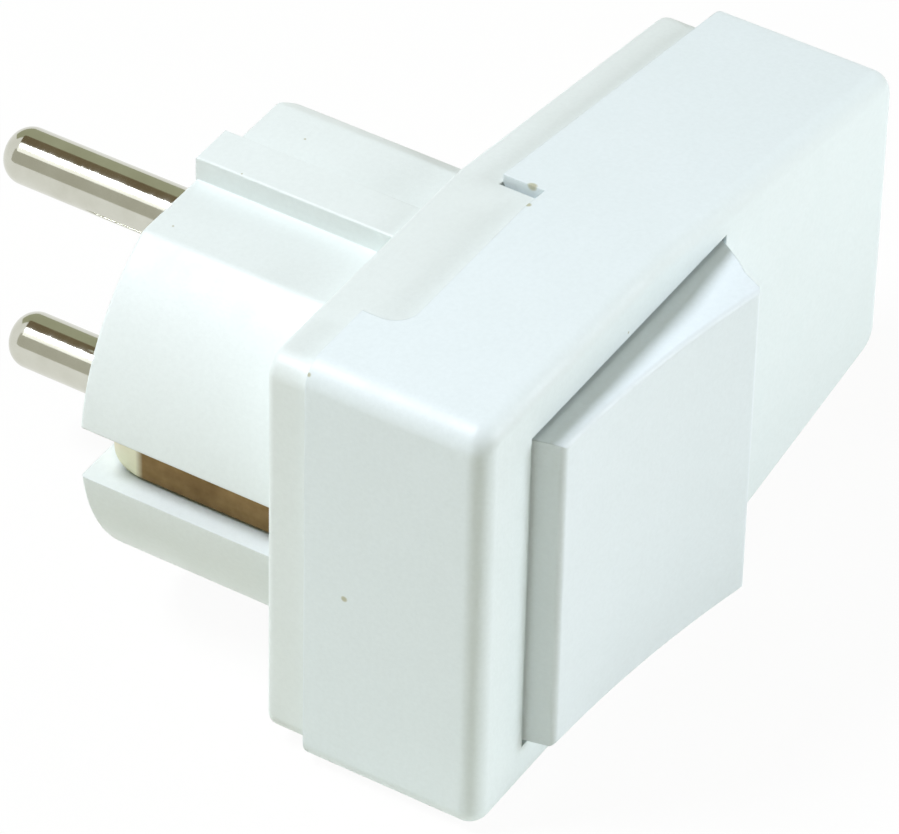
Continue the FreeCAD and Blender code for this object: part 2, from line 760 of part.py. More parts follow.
# Bent strip from the pin's riveted end up through the carrier to the fixed contact.
def make_link(label, side):
    body = new_body(label)
    strip = get("strip_thickness")
    low = get("pin_face_thickness") + get("pin_collar_thickness")
    rise = get("link_rise_x")
    margin = get("link_margin")
    end = get("rocker_x") + get("contact_arm") + get("button_radius") + margin
    start = -get("rivet_head_radius") - margin
    corners = [(start, -low), (rise + strip, -low), (rise + strip, -parting_depth), (end, -parting_depth),
               (end, -strip_top), (rise, -strip_top), (rise, -low - strip), (start, -low - strip)]
    pad(body, outline(body, "profile", "XY_Plane", corners), get("strip_width"), middle=True)
    hole = get("pin_rivet_radius") + get("fit_clearance")
    pocket(body, circles(body, "rivet_hole", "XZ_Plane", [(0, 0, hole)], low), strip)
    move_to(body, 0, 0, pin_z * side)
    return body


def make_fixed_button(label, side):
    body = new_body(label)
    pad(body, circles(body, "disc", "XZ_Plane", [(0, 0, get("button_radius"))]), get("button_height"))
    move_to(body, get("rocker_x") + get("contact_arm"), -strip_top, pin_z * side)
    return body


# Moving contact arm with a round groove across it, which rocks on the bracket's nose.
def make_seesaw(label, side):
    body = new_body(label)
    half = seesaw_half_length
    low = get("fulcrum_gap")
    corners = box_corners(-half, half, -seesaw_top, -low)
    pad(body, outline(body, "profile", "XY_Plane", corners), get("strip_width"), middle=True)
    groove = get("nose_radius") + get("nose_clearance")
    pocket(body, circles(body, "groove", "XY_Plane", [(0, 0, groove)]), get("strip_width"), middle=True)
    half_x, half_z = half.number, get("strip_width").number / 2

    def end_edge(edge):
        return edge.Length < 2 and all(abs(abs(v.X) - half_x) < 1e-6 and abs(abs(v.Z) - half_z) < 1e-6
                                       for v in edge.Vertexes)
    fillet(body, "ends", get("seesaw_corner"), end_edge)
    move_to(body, get("rocker_x"), -fulcrum_depth, pin_z * side, get("seesaw_tilt"))
    return body


def make_moving_button(label, side):
    body = new_body(label)
    start = get("fulcrum_gap") - get("button_height")
    pad(body, circles(body, "disc", "XZ_Plane", [(get("contact_arm"), 0, get("button_radius"))], start),
        get("button_height"))
    move_to(body, get("rocker_x"), -fulcrum_depth, pin_z * side, get("seesaw_tilt"))
    return body


# Bracket with a round nose for the contact arm and a run to the wire terminal.
def make_bracket(label, side):
    body = new_body(label)
    low = get("run_z") - get("run_width") / 2
    run = get("run_z") + get("run_width") / 2
    high = pin_z + get("strip_width") / 2
    centre = get("rocker_x")
    start = centre - get("bracket_half_width")
    end = centre + get("bracket_half_width")
    corners = [(start, low * side), (terminal_x, low * side), (terminal_x, run * side),
               (end, run * side), (end, high * side), (start, high * side)]
    pad(body, outline(body, "plate", "XZ_Plane", corners, parting_depth), get("strip_thickness"))
    nose = get("nose_radius")
    root = -strip_top + get("join")
    corners = [(start, root), (end, root), (centre + nose, -fulcrum_depth), (centre - nose, -fulcrum_depth)]
    width = get("strip_width") - get("knife_margin") * 2
    low = pin_z * side - width / 2
    pad(body, outline(body, "knife", "XY_Plane", corners, low), width)
    pad(body, circles(body, "nose", "XY_Plane", [(centre, -fulcrum_depth, nose)], low), width)
    return body


# Insulating plate that carries the contacts, let into the base's tray.
def make_carrier():
    body = new_body("contact_carrier")
    corners = box_corners(-carrier_left, carrier_right, -carrier_half_height, carrier_half_height)
    pad(body, outline(body, "plate", "XZ_Plane", corners, floor_depth), carrier_thickness)
    gap = get("window_gap")
    half = get("strip_width") / 2 + gap
    for name, side in (("top", 1), ("bottom", -1)):
        middle = pin_z * side
        corners = box_corners(get("link_rise_x") - gap, get("link_rise_x") + get("strip_thickness") + gap,
                              middle - half, middle + half)
        pocket(body, outline(body, f"window_{name}", "XZ_Plane", corners, floor_depth), carrier_thickness)
    groove = get("strap_width") / 2 + get("strap_side_gap")
    past = get("cut_past")
    corners = box_corners(-carrier_left - past, carrier_right + past, -groove, groove)
    pocket(body, outline(body, "groove", "XZ_Plane", corners, floor_depth),
           get("strap_thickness") + get("fit_clearance"))
    slot = get("earth_link_width") / 2 + gap
    corners = box_corners(earth_link_start - gap, carrier_right + past, -slot, slot)
    pocket(body, outline(body, "link_slot", "XZ_Plane", corners, floor_depth), carrier_thickness)
    hole = get("clamp_screw_radius") + get("shank_clearance")
    places = [(carrier_screw_x, carrier_screw_z, hole), (carrier_screw_x, -carrier_screw_z, hole)]
    pocket(body, circles(body, "screw_holes", "XZ_Plane", places, floor_depth), carrier_thickness)
    return body


# One strap: a cross-piece under the carrier and two arms in the side channels, each
# with its end turned inwards as a rounded nose for the socket's clip.
def make_earth_strap():
    body = new_body("earth_strap")
    outer = get("strap_nose_radius")
    inner_tip_x = nose_x + nose_inner * nose_cosine
    outer_tip_x = nose_x + outer * nose_cosine
    inner_tip_y = nose_inner * nose_sine - nose_depth
    outer_tip_y = -get("strap_tip_setback")
    cross = floor_depth + get("strap_thickness")
    corners = [(strap_near, -floor_depth), (strap_near, -nose_depth), (inner_tip_x, inner_tip_y),
               (outer_tip_x, outer_tip_y), (strap_far, -nose_depth), (strap_far, -cross),
               (-strap_far, -cross), (-strap_far, -nose_depth), (-outer_tip_x, outer_tip_y),
               (-inner_tip_x, inner_tip_y), (-strap_near, -nose_depth), (-strap_near, -floor_depth)]
    bows = {1: (nose_inner, 1), 3: (outer, -1), 7: (outer, -1), 9: (nose_inner, 1)}
    pad(body, outline(body, "profile", "XY_Plane", corners, bows=bows), get("strap_width"), middle=True)
    return body


def make_earth_link():
    body = new_body("earth_link")
    half = get("earth_link_width") / 2
    low = floor_depth + get("strap_thickness")
    corners = box_corners(earth_link_start, terminal_x, -half, half)
    pad(body, outline(body, "strip", "XZ_Plane", corners, low), get("strip_thickness"))
    return body


# Brass block: wire hole from the cord side, threaded hole from the front.
def make_terminal(label, side):
    body = new_body(label)
    half = get("terminal_width") / 2
    height = get("terminal_height")
    corners = box_corners(0, get("terminal_length"), -half, half)
    pad(body, outline(body, "block", "XZ_Plane", corners), height)
    wire = circles(body, "wire_hole", "YZ_Plane",
                   [(get("wire_hole_drop") - height / 2, 0, get("wire_hole_radius"))], get("wire_hole_start"))
    pocket(body, wire, get("terminal_length"))
    hole = get("terminal_screw_radius") + get("fit_clearance")
    pocket(body, circles(body, "screw_hole", "XZ_Plane", [(get("terminal_length") / 2, 0, hole)], height / 2), height)
    move_to(body, terminal_x, -floor_depth, get("terminal_spacing") * side)
    return body


# Identical slotted screws along Y; head_way is +1 where the heads face the cover.
def make_screws(label, places, shank, shank_start, shank_length, head, head_start, head_height, head_way):
    body = new_body(label)
    body.AllowCompound = True
    pad(body, circles(body, "shank", "XZ_Plane", [(x, z, shank) for x, z in places], shank_start), shank_length)
    pad(body, circles(body, "head", "XZ_Plane", [(x, z, head) for x, z in places], head_start), head_height)
    slot = head * get("slot_share")
    deep = head_height * get("slot_depth_share")
    start = head_start if head_way < 0 else head_start + head_height - deep
    reach = head + get("join")
    for i, (x, z) in enumerate(places):
        corners = box_corners(x - reach, x + reach, z - slot, z + slot)
        pocket(body, outline(body, f"slot{i}", "XZ_Plane", corners, start), deep)
    return body


# Arched bar over the cord's place, held by two screws in the base's posts.
def make_clamp_bar():
    body = new_body("clamp_bar")
    low = clamp_seat
    high = low + get("clamp_thickness")
    arch = get("clamp_arch")
    reach = get("clamp_screw_z") + get("clamp_post_radius") + get("clamp_end")
    span = get("clamp_screw_z") - get("clamp_post_radius") - get("clamp_shoulder")
    radius = (span * span + arch * arch) / (arch * 2)
    corners = [(-low, -reach), (-low, -span), (-low, span), (-low, reach), (-high, reach), (-high, -reach)]
    profile = outline(body, "profile", "YZ_Plane", corners, clamp_x - get("clamp_width") / 2,
                      bows={1: (radius, -1)})
    pad(body, profile, get("clamp_width"))
    hole = get("clamp_screw_radius") + get("shank_clearance")
    places = [(clamp_x, get("clamp_screw_z"), hole), (clamp_x, -get("clamp_screw_z"), hole)]
    pocket(body, circles(body, "holes", "XZ_Plane", places, low), get("clamp_thickness"))
    return body


pieces = [
    make_base(),
    make_cover(),
    make_rocker(),
    make_pin("live_pin", 1),
    make_pin("neutral_pin", -1),
    make_link("live_link", 1),
    make_link("neutral_link", -1),
    make_fixed_button("live_fixed_button", 1),
    make_fixed_button("neutral_fixed_button", -1),
    make_seesaw("live_seesaw", 1),
    make_seesaw("neutral_seesaw", -1),
    make_moving_button("live_moving_button", 1),
    make_moving_button("neutral_moving_button", -1),
    make_bracket("live_bracket", 1),
    make_bracket("neutral_bracket", -1),
    make_carrier(),
    make_earth_strap(),
    make_earth_link(),
    make_terminal("live_terminal", 1),
    make_terminal("neutral_terminal", -1),
    make_terminal("earth_terminal", 0),
    make_plunger("upper_plunger", 1),
    make_plunger("lower_plunger", -1),
    make_spring("upper_spring", 1),
    make_spring("lower_spring", -1),
    make_clamp_bar(),
]

terminal_mid = terminal_x + get("terminal_length") / 2
terminal_top = floor_depth + get("terminal_height")
terminal_reach = get("terminal_screw_reach")
terminal_gap = get("terminal_head_gap")
pieces.append(make_screws(
    "terminal_screws", [(terminal_mid, get("terminal_spacing") * n) for n in (-1, 0, 1)],
    get("terminal_screw_radius"), terminal_top - terminal_reach, terminal_reach + terminal_gap,
    get("terminal_head_radius"), terminal_top + terminal_gap, get("terminal_head_height"), 1))
small_reach = get("clamp_screw_reach")
pieces.append(make_screws(
    "clamp_screws", [(clamp_x, get("clamp_screw_z")), (clamp_x, -get("clamp_screw_z"))],
    get("clamp_screw_radius"), clamp_seat - small_reach, get("clamp_thickness") + small_reach,
    get("clamp_head_radius"), clamp_seat + get("clamp_thickness"), get("clamp_head_height"), 1))
pieces.append(make_screws(
    "carrier_screws", [(carrier_screw_x, carrier_screw_z), (carrier_screw_x, -carrier_screw_z)],
    get("clamp_screw_radius"), floor_depth - small_reach, carrier_thickness + small_reach,
    get("clamp_head_radius"), parting_depth, get("clamp_head_height"), 1))
screw_seat = get("neck_length") + get("screw_recess")
pieces.append(make_screws(
    "housing_screws", [(screw_x, get("screw_z")), (screw_x, -get("screw_z"))],
    get("screw_radius"), screw_seat, get("screw_length"), get("screw_head_radius"),
    screw_seat - get("screw_head_height"), get("screw_head_height"), -1))

doc.recompute()
for thing in doc.Objects:
    if "Invalid" in thing.State or "Error" in thing.State:
        raise RuntimeError(f"{thing.Name} failed: {thing.State}")
os.makedirs("parts", exist_ok=True)
for piece in pieces:
    shape = piece.Shape
    if shape.isNull() or not shape.isValid() or shape.Volume <= 0:
        raise RuntimeError(f"{piece.Label} has no valid shape")
    shape.exportStep(f"parts/{piece.Label}.step")
    print(f"{piece.Label}: {len(shape.Solids)} solid(s), {shape.Volume:.1f} mm3")
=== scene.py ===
import json
import math
import bmesh
import bpy
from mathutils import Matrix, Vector


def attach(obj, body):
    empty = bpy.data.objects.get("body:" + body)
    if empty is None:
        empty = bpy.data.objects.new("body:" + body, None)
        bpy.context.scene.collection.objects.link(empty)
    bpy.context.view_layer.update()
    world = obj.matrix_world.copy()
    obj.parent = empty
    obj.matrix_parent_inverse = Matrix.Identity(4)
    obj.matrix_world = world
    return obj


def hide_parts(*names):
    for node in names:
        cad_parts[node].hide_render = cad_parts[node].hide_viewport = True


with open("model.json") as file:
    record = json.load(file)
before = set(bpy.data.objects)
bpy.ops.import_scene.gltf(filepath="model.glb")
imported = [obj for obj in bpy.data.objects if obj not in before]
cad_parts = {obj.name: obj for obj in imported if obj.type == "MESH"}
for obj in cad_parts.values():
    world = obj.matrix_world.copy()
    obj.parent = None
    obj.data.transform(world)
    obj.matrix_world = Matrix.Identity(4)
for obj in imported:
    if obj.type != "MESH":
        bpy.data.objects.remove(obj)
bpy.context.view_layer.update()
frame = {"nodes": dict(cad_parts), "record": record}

# Right-angled mains plug with a rocker switch. Sizes are in millimetres, the mesh is in metres.
mm = 0.001
# joined pieces reach this far into what they stand on, and cutting tools run this far past a surface
sunk = 0.1
past = 1
# values closer than this are the same, and a face looks along an axis when its normal passes this share
near = 0.01
facing = 0.9
print("frame loaded")


# hand tools
def onlySelect(*things):
    bpy.ops.object.select_all(action='DESELECT')
    for thing in things:
        thing.select_set(True)
    bpy.context.view_layer.objects.active = things[-1]


def addBlock(name, low, high):
    bpy.ops.object.select_all(action='DESELECT')
    middle = [(a + b) / 2 * mm for a, b in zip(low, high)]
    bpy.ops.mesh.primitive_cube_add(size=1, location=middle)
    block = bpy.context.object
    block.name = name
    block.scale = [(b - a) * mm for a, b in zip(low, high)]
    bpy.ops.object.transform_apply(location=True, rotation=True, scale=True)
    return block


# a rod along X, Y or Z; place is the middle of its first end
def addRod(name, radius, place, length, along='Y', sides=96):
    turns = {'X': (0, math.pi / 2, 0), 'Y': (math.pi / 2, 0, 0), 'Z': (0, 0, 0)}
    middle = list(place)
    middle['XYZ'.index(along)] += length / 2
    bpy.ops.object.select_all(action='DESELECT')
    bpy.ops.mesh.primitive_cylinder_add(vertices=sides, radius=radius * mm, depth=abs(length) * mm,
                                        location=[v * mm for v in middle], rotation=turns[along])
    rod = bpy.context.object
    rod.name = name
    bpy.ops.object.transform_apply(location=True, rotation=True, scale=True)
    return rod


def pickEdges(piece, test):
    onlySelect(piece)
    bpy.ops.object.mode_set(mode='EDIT')
    bpy.ops.mesh.select_mode(type='EDGE')
    bpy.ops.mesh.select_all(action='DESELECT')
    mesh = bmesh.from_edit_mesh(piece.data)
    for edge in mesh.edges:
        edge.select_set(test(edge.verts[0].co / mm, edge.verts[1].co / mm))
    bmesh.update_edit_mesh(piece.data)


def pickFaces(piece, test):
    onlySelect(piece)
    bpy.ops.object.mode_set(mode='EDIT')
    bpy.ops.mesh.select_mode(type='FACE')
    bpy.ops.mesh.select_all(action='DESELECT')
    mesh = bmesh.from_edit_mesh(piece.data)
    for face in mesh.faces:
        face.select_set(test(face.calc_center_median() / mm, face.normal))
    bmesh.update_edit_mesh(piece.data)


def leaveEdit():
    bpy.ops.object.mode_set(mode='OBJECT')


def roundEdges(piece, width, steps, test):
    pickEdges(piece, test)
    bpy.ops.mesh.bevel(offset=width * mm, segments=steps, affect='EDGES')
    leaveEdit()


def sliceOff(piece, place, normal):
    onlySelect(piece)
    bpy.ops.object.mode_set(mode='EDIT')
    bpy.ops.mesh.select_all(action='SELECT')
    bpy.ops.mesh.bisect(plane_co=[v * mm for v in place], plane_no=normal, use_fill=True,
                        clear_outer=True, threshold=0.001 * mm)
    bpy.ops.mesh.select_all(action='SELECT')
    bpy.ops.mesh.normals_make_consistent(inside=False)
    leaveEdit()


def combine(piece, tools, how):
    for tool in tools:
        onlySelect(piece)
        step = piece.modifiers.new("step", 'BOOLEAN')
        step.operation = how
        step.solver = 'EXACT'
        step.object = tool
        bpy.ops.object.modifier_apply(modifier="step")
        bpy.data.objects.remove(tool, do_unlink=True)


def carve(piece, *tools):
    combine(piece, tools, 'DIFFERENCE')


def join(piece, *tools):
    combine(piece, tools, 'UNION')


def smoothOver(piece, angle=32):
    onlySelect(piece)
    bpy.ops.object.mode_set(mode='EDIT')
    bpy.ops.mesh.select_all(action='SELECT')
    bpy.ops.mesh.remove_doubles(threshold=0.002 * mm)
    leaveEdit()
    bpy.ops.object.shade_smooth_by_angle(angle=math.radians(angle))
    # large faces keep their own normal, so flats stay flat beside their rounded edges
    even = piece.modifiers.new("even normals", 'WEIGHTED_NORMAL')
    even.keep_sharp = True
    even.weight = 100
    bpy.ops.object.modifier_apply(modifier="even normals")


def nearTo(a, b):
    return abs(a - b) < near


# whether both ends of an edge have this value along the axis
def endsAt(a, b, axis, value):
    return nearTo(getattr(a, axis), value) and nearTo(getattr(b, axis), value)


# straight to the bend, then narrowing towards the cord end
def taperedBlock(name, left, bend, right, half, endHalf, back, front):
    block = addBlock(name, (left, -front, -half), (bend, -back, half))
    pickFaces(block, lambda c, n: n.x > facing)
    bpy.ops.mesh.extrude_region_move(TRANSFORM_OT_translate={"value": ((right - bend) * mm, 0, 0)})
    bpy.ops.transform.resize(value=(1, 1, endHalf / half), center_override=(right * mm, 0, 0))
    leaveEdit()
    return block


# the room inside such a block, one wall in from its sides
def taperedRoom(name, s, back, front):
    slope = (s["half"] - s["endHalf"]) / (s["right"] - s["bend"])
    return taperedBlock(name, -s["left"] + s["wall"], s["bend"], s["right"] - s["wall"],
                        s["half"] - s["wall"], s["endHalf"] - s["wall"] + slope * s["wall"], back, front)


# its corners along Y first, then the rim of its outer face
def roundShell(body, s, outer):
    roundEdges(body, s["corner"], s["cornerSteps"],
               lambda a, b: nearTo(a.x, b.x) and nearTo(a.z, b.z) and not nearTo(a.x, s["bend"]))
    roundEdges(body, s["edge"], s["edgeSteps"],
               lambda a, b: endsAt(a, b, "y", outer) and not endsAt(a, b, "x", s["bend"]))


# base: flange, round neck with flats and ridges, earth channels
base = dict(left=20.2, bend=7.0, right=39.5, half=19.0, endHalf=13.9,
            corner=2.0, cornerSteps=8, edge=0.7, edgeSteps=5, back=18.2, front=22.0, floor=20.0, wall=2.0,
            neck=18.7, neckRoot=0.5, flat=16.1, flatCorner=1.2, cornerTurns=6,
            rim=0.35, rimSteps=4, hollow=14.2, face=3.5,
            ridge=2.1, ridgeTop=18.2, ridgeRoot=1, ridgeEdge=0.18, ridgeSteps=3,
            channelHalf=2.5, channelFloor=15.75, channelEnd=13.513, channelMouth=8,
            noseX=11.57, noseDepth=4.499, bed=4.18, bedHalf=4,
            slotHalf=2.3, slotFar=16.85, slotPast=0.5, pinHole=2.22, pinHoleLong=6, pinZ=9.5,
            screwX=30.0, screwZ=9.0, recess=3.1, recessDeep=2.1,
            screwHole=1.6, screwHoleLong=6, ring=4.0, ringHeight=2.0,
            clampX=35.9, clampZ=6.6, post=2.0, clampSeat=29.5,
            smallHole=1.12, smallHoleLong=9, carrierX=12.602, carrierZ=10.574,
            tongueLeft=-12.4, tongueRight=7.0, tongueReach=25.4, tongueThick=1.4,
            tongueCorner=2.2, tongueSteps=8)


# straight bed, then a round one that turns in to the pin face
def addChannel(s, side):
    low, high = sorted((s["channelEnd"] * side, (s["neck"] + past) * side))
    channel = addBlock("channel", (low, -s["back"], -s["channelHalf"]), (high, past, s["channelHalf"]))
    half = s["bedHalf"]
    bed = addRod("bed", s["bed"], (s["noseX"] * side, -s["noseDepth"], -half), half * 2, 'Z', sides=160)
    low, high = sorted((s["channelMouth"] * side, s["channelFloor"] * side))
    carve(channel, bed, addBlock("bed", (low, -s["back"] - past, -half), (high, -s["noseDepth"], half)))
    return channel


# the flats' round corners are sliced in small turns about the corner's own middle
def makeNeck(s):
    neck = addRod("neck", s["neck"], (0, 0, 0), -s["back"] - s["neckRoot"], sides=240)
    cornerZ = s["flat"] - s["flatCorner"]
    cornerX = math.sqrt((s["neck"] - s["flatCorner"]) ** 2 - cornerZ ** 2)
    lowest = math.atan2(cornerZ, cornerX)
    turns = [lowest + (math.pi / 2 - lowest) * step / s["cornerTurns"] for step in range(1, s["cornerTurns"])]
    for side in (1, -1):
        sliceOff(neck, (0, 0, s["flat"] * side), (0, 0, side))
        for way in (1, -1):
            for turn in turns:
                across, up = math.cos(turn) * way, math.sin(turn) * side
                place = (cornerX * way + across * s["flatCorner"], 0, cornerZ * side + up * s["flatCorner"])
                sliceOff(neck, place, (across, 0, up))
    roundEdges(neck, s["rim"], s["rimSteps"], lambda a, b: endsAt(a, b, "y", 0))
    return neck


def makeBase(s):
    body = taperedBlock("base_moulding", -s["left"], s["bend"], s["right"], s["half"], s["endHalf"],
                        s["back"], s["front"])
    roundShell(body, s, -s["back"])
    join(body, makeNeck(s))
    for side in (1, -1):
        low, high = sorted(((s["flat"] - s["ridgeRoot"]) * side, s["ridgeTop"] * side))
        ridge = addBlock("ridge", (-s["ridge"], -s["back"] - s["neckRoot"], low), (s["ridge"], 0, high))
        roundEdges(ridge, s["ridgeEdge"], s["ridgeSteps"],
                   lambda a, b: endsAt(a, b, "z", s["ridgeTop"] * side))
        join(body, ridge)

    tray = taperedRoom("tray", s, s["floor"], s["front"] + past)
    carve(body, tray, addRod("hollow", s["hollow"], (0, -s["face"], 0), -s["floor"], sides=128))
    for side in (1, -1):
        carve(body, addRod("pin hole", s["pinHole"], (0, past, s["pinZ"] * side),
                           -s["pinHoleLong"], sides=48))
        carve(body, addChannel(s, side))
        low, high = sorted((s["channelFloor"] * side, s["slotFar"] * side))
        carve(body, addBlock("slot", (low, -s["floor"] - s["slotPast"], -s["slotHalf"]),
                             (high, -s["back"] + past, s["slotHalf"])))

    for side in (1, -1):
        x, z = s["screwX"], s["screwZ"] * side
        join(body, addRod("screw ring", s["ring"], (x, -s["floor"] + sunk, z),
                          -s["ringHeight"] - sunk, sides=64))
        carve(body, addRod("recess", s["recess"], (x, -s["back"] + past, z),
                           -s["recessDeep"] - past, sides=64),
              addRod("screw hole", s["screwHole"], (x, -s["back"], z), -s["screwHoleLong"], sides=40))
        x, z = s["clampX"], s["clampZ"] * side
        join(body, addRod("clamp post", s["post"], (x, -s["floor"] + sunk, z),
                          s["floor"] - s["clampSeat"] - sunk, sides=48))
        carve(body, addRod("clamp hole", s["smallHole"], (x, -s["clampSeat"] - past, z),
                           s["smallHoleLong"], sides=24))
        x, z = -s["carrierX"], s["carrierZ"] * side
        carve(body, addRod("carrier hole", s["smallHole"], (x, -s["floor"] - past, z),
                           s["smallHoleLong"], sides=24))
    tongue = addBlock("tongue", (s["tongueLeft"], -s["tongueReach"], s["half"] - s["tongueThick"]),
                      (s["tongueRight"], -s["front"] + past, s["half"]))
    roundEdges(tongue, s["tongueCorner"], s["tongueSteps"], lambda a, b:
               endsAt(a, b, "x", s["tongueLeft"]) and endsAt(a, b, "y", -s["tongueReach"]))
    join(body, tongue)
    smoothOver(body)
    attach(body, "housing")
    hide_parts("base_housing")
    return body


baseMoulding = makeBase(base)
print("base modelled")


# cover: tapered shell with the rocker's well, cord inlet and latch notch
cover = dict(left=20.7, bend=4.7, right=42.4, half=20.1, endHalf=14.1,
             corner=2.2, cornerSteps=10, edge=1.7, edgeSteps=10, back=22.0, front=37.8, wall=2.0,
             rockerX=0.4, pivot=30.3, well=16.25, wellHalf=15.65, wellWall=1.4,
             wellStart=27.8, wellPast=0.5, bearing=1.88,
             screwX=30.0, screwZ=9.0, boss=3.0, screwHole=1.52, screwHoleDeep=11,
             inlet=3.7, inletY=27.0, inletLong=6, collar=4.9, collarLength=2.0,
             notchLeft=-12.75, notchRight=7.5, notchReach=25.75, notchLow=17.25,
             notchCorner=2.2, notchSteps=8)


def makeCover(s):
    body = taperedBlock("cover_moulding", -s["left"], s["bend"], s["right"], s["half"], s["endHalf"],
                        s["back"], s["front"])
    roundShell(body, s, -s["front"])
    innerFront = s["front"] - s["wall"]
    carve(body, taperedRoom("hollow", s, s["back"] - past, innerFront))

    outer = s["well"] + s["wellWall"]
    side = s["wellHalf"] + s["wellWall"]
    join(body, addBlock("well", (s["rockerX"] - outer, -innerFront - sunk, -side),
                        (s["rockerX"] + outer, -s["wellStart"], side)))
    opening = addRod("opening", s["well"], (s["rockerX"], -s["pivot"], -s["wellHalf"]),
                     s["wellHalf"] * 2, 'Z', sides=240)
    sliceOff(opening, (0, -s["wellStart"] + s["wellPast"], 0), (0, 1, 0))
    bearing = addRod("bearing", s["bearing"], (s["rockerX"], -s["pivot"], -side - sunk),
                     (side + sunk) * 2, 'Z', sides=48)
    carve(body, opening, bearing)

    for way in (1, -1):
        x, z = s["screwX"], s["screwZ"] * way
        join(body, addRod("boss", s["boss"], (x, -s["back"], z), s["back"] - innerFront - sunk, sides=48))
        carve(body, addRod("boss hole", s["screwHole"], (x, -s["back"] + past, z),
                           -s["screwHoleDeep"] - past, sides=32))
    join(body, addRod("collar", s["collar"], (s["right"] - s["wall"] - s["collarLength"], -s["inletY"], 0),
                      s["collarLength"] + sunk, 'X', sides=64))
    carve(body, addRod("inlet", s["inlet"], (s["right"] + past - s["inletLong"], -s["inletY"], 0),
                       s["inletLong"], 'X', sides=96))

    notch = addBlock("notch", (s["notchLeft"], -s["notchReach"], s["notchLow"]),
                     (s["notchRight"], -s["back"] + past, s["half"] + past))
    roundEdges(notch, s["notchCorner"], s["notchSteps"], lambda a, b:
               endsAt(a, b, "x", s["notchLeft"]) and endsAt(a, b, "y", -s["notchReach"]))
    carve(body, notch)
    smoothOver(body)
    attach(body, "housing")
    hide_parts("front_cover")
    return body


coverMoulding = makeCover(cover)
print("cover modelled")


# rocker: dished key on its own pivot, tilted at rest
rocker = dict(x=0.4, pivot=30.3, radius=15.9, halfChord=12.148, land=9.2, height=11.5, half=15.25,
              dish=0.6, dishRows=32, edge=0.45, edgeSteps=5, skirt=4.2, wall=1.6, frontWall=1.9, tilt=-7.2,
              trunnion=1.8, stub=1.7, stubRoot=0.5, lug=3.4,
              tubeZ=9.5, tube=2.98, bore=1.78, tubeReach=1.5)


def makeRocker(s):
    land = s["land"]
    landX = math.sqrt(s["radius"] ** 2 - land ** 2)
    key = addRod("rocker_key", s["radius"], (0, 0, -s["half"]), s["half"] * 2, 'Z', sides=288)
    sliceOff(key, (0, -s["skirt"], 0), (0, 1, 0))
    sliceOff(key, (0, -land, 0), (0, -1, 0))
    pickFaces(key, lambda c, n: n.y < -facing and nearTo(c.y, -land))
    bpy.ops.mesh.extrude_region_move(TRANSFORM_OT_translate={"value": (0, (land - s["height"]) * mm, 0)})
    bpy.ops.transform.resize(value=(s["halfChord"] / landX, 1, 1), center_override=(0, -s["height"] * mm, 0))
    leaveEdit()
    # strips across the front, then each row goes in by its share of the dish
    pickEdges(key, lambda a, b: endsAt(a, b, "y", -s["height"]) and nearTo(a.z, b.z))
    bpy.ops.mesh.subdivide(number_cuts=s["dishRows"] - 1)
    mesh = bmesh.from_edit_mesh(key.data)
    for corner in mesh.verts:
        if nearTo(corner.co.y / mm, -s["height"]):
            corner.co.y += s["dish"] * (1 - (corner.co.x / mm / s["halfChord"]) ** 2) * mm
    bmesh.update_edit_mesh(key.data)
    leaveEdit()
    deepest = s["dish"] - s["height"]
    roundEdges(key, s["edge"], s["edgeSteps"], lambda a, b: max(a.y, b.y) < deepest + near
               and (nearTo(a.z, b.z) or nearTo(abs(a.x), s["halfChord"]) and nearTo(a.x, b.x)))

    inner = s["radius"] - s["wall"]
    innerTop = s["height"] - s["dish"] - s["frontWall"]
    room = addRod("room", inner, (0, 0, -s["half"] + s["wall"]), (s["half"] - s["wall"]) * 2, 'Z', sides=128)
    sliceOff(room, (0, -innerTop, 0), (0, -1, 0))
    carve(key, room)
    for side in (1, -1):
        z = (s["half"] - s["wall"]) if side > 0 else -s["half"]
        join(key, addBlock("web", (-s["lug"], -s["skirt"] - sunk, z), (s["lug"], 0, z + s["wall"])),
             addRod("lug", s["lug"], (0, 0, z), s["wall"], 'Z', sides=64),
             addRod("trunnion", s["trunnion"], (0, 0, (s["half"] - s["stubRoot"]) * side),
                    (s["stub"] + s["stubRoot"]) * side, 'Z', sides=48))
        tubeLong = innerTop + s["tubeReach"]
        join(key, addRod("tube", s["tube"], (0, s["tubeReach"], s["tubeZ"] * side),
                         -tubeLong - sunk, sides=48))
        carve(key, addRod("bore", s["bore"], (0, s["tubeReach"] + past, s["tubeZ"] * side),
                          -tubeLong - past, sides=48))
    key.rotation_euler = (0, 0, math.radians(s["tilt"]))
    key.location = (s["x"] * mm, -s["pivot"] * mm, 0)
    onlySelect(key)
    bpy.ops.object.transform_apply(location=True, rotation=True, scale=True)
    smoothOver(key)
    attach(key, "rocker_body")
    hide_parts("rocker")
    return key


rockerKey = makeRocker(rocker)
print("rocker modelled")


# pins: turned rods, from the riveted end to the domed tip
pin = dict(steps=[(-6.2, 2.2), (-5.5, 2.2), (-5.5, 1.5), (-4.7, 1.5), (-4.7, 3.4), (-3.5, 3.4), (-3.5, 2.2),
                  (0, 2.2), (0, 2.4), (19.0, 2.4)], tip=1.88, tipSteps=14, z=9.5)


